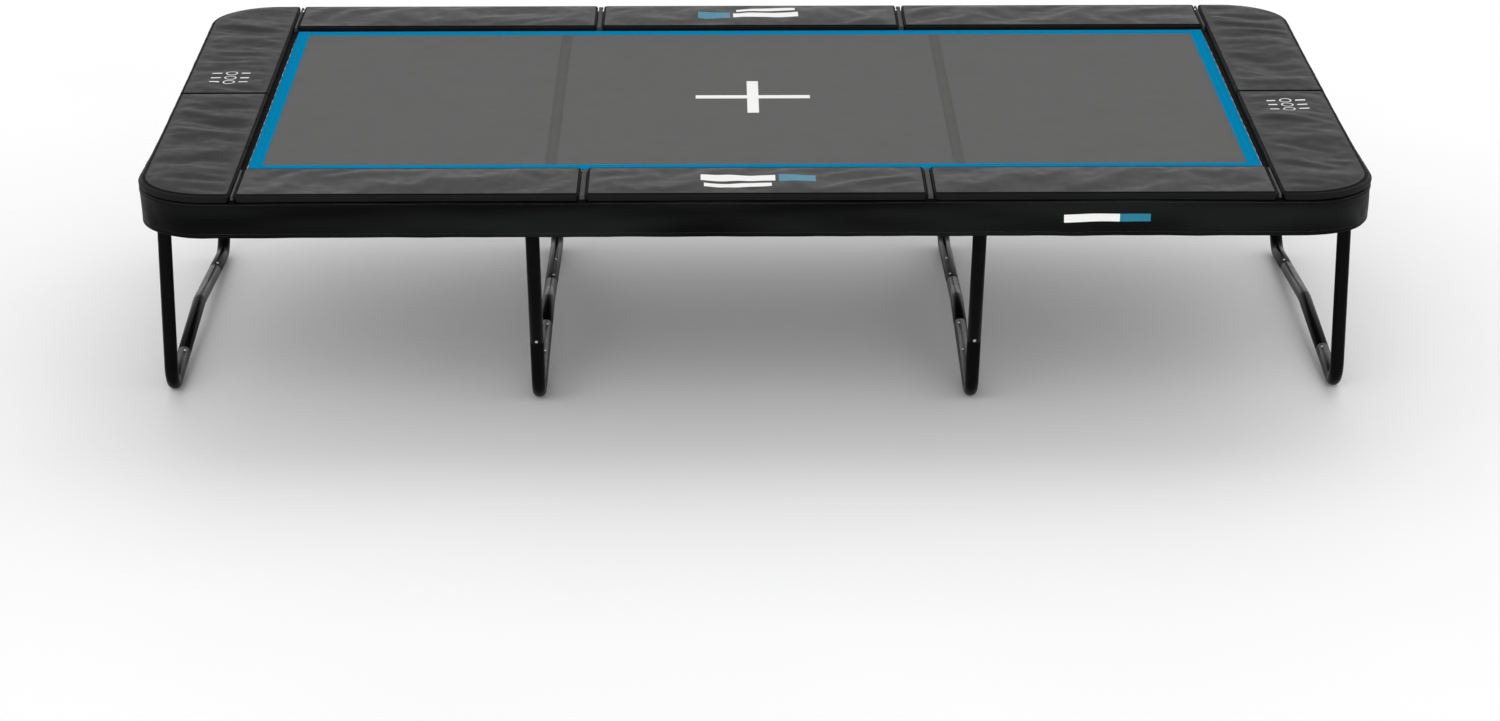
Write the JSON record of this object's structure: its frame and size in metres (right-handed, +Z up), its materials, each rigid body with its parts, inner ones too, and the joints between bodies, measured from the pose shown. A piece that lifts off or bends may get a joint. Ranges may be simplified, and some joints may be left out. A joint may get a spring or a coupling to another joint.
{
  "type": "trampoline",
  "caption": "Rectangular outdoor trampoline with a bent tube frame on W-shaped legs, a sprung jump mat, foam pads over the springs and a fabric skirt.",
  "frame": {"origin": "on the ground under the centre of the mat", "axes": "+X along the length to the right, +Y from front to rear, +Z up"},
  "size_m": [5.2, 3.1, 1.1],
  "materials": {
    "tube": "black powder coat, semi-gloss",
    "socket": "black powder coat over welded steel",
    "spring": "galvanised spring steel wire",
    "mat": "woven polypropylene mesh",
    "tape": "blue woven border webbing",
    "pad": "coated fabric over foam, satin",
    "strip": "woven webbing",
    "skirt": "black coated fabric"
  },
  "bodies": {
    "root": {"corner_rail_front_left": "tube", "corner_rail_front_right": "tube", "long_rail_front": "tube", "corner_rail_rear_left": "tube", "corner_rail_rear_right": "tube", "long_rail_rear": "tube", "end_rail_left": "tube", "end_rail_right": "tube", "corner_leg_front_left": "tube", "corner_leg_socket_front_left": "socket", "corner_leg_rear_left": "tube", "corner_leg_socket_rear_left": "socket", "corner_leg_base_left": "tube", "corner_leg_front_right": "tube", "corner_leg_socket_front_right": "socket", "corner_leg_rear_right": "tube", "corner_leg_socket_rear_right": "socket", "corner_leg_base_right": "tube", "mid_leg_post_front_left": "tube", "mid_leg_foot_front_left": "tube", "mid_leg_socket_front_left": "socket", "mid_leg_post_rear_left": "tube", "mid_leg_foot_rear_left": "tube", "mid_leg_socket_rear_left": "socket", "mid_leg_base_left": "tube", "mid_leg_post_front_right": "tube", "mid_leg_foot_front_right": "tube", "mid_leg_socket_front_right": "socket", "mid_leg_post_rear_right": "tube", "mid_leg_foot_rear_right": "tube", "mid_leg_socket_rear_right": "socket", "mid_leg_base_right": "tube", "springs_front": "spring", "springs_rear": "spring", "springs_left": "spring", "springs_right": "spring", "end_pad_front_left": "pad", "end_pad_front_right": "pad", "long_pad_front_left": "pad", "long_pad_front_centre": "pad", "long_pad_front_right": "pad", "end_pad_rear_left": "pad", "end_pad_rear_right": "pad", "long_pad_rear_left": "pad", "long_pad_rear_centre": "pad", "long_pad_rear_right": "pad", "pad_strip_front_left_seam": "strip", "pad_strip_front_left_corner": "strip", "pad_strip_front_right_seam": "strip", "pad_strip_front_right_corner": "strip", "pad_strip_rear_left_seam": "strip", "pad_strip_rear_left_corner": "strip", "pad_strip_rear_right_seam": "strip", "pad_strip_rear_right_corner": "strip", "pad_inner_flap": "pad", "skirt": "skirt"},
    "mat": {"jump_mat": "mat", "mat_border_tape": "tape"}
  },
  "joints": [
    {"name": "mat_bounce", "type": "slide", "parent": "root", "child": "mat", "axis": [0, 0, 1], "range_m": [-0.35, 0], "stiffness_N_per_m": 6000, "springref_m": 0.02, "deforming": ["springs_front", "springs_rear", "springs_left", "springs_right"]}
  ]
}
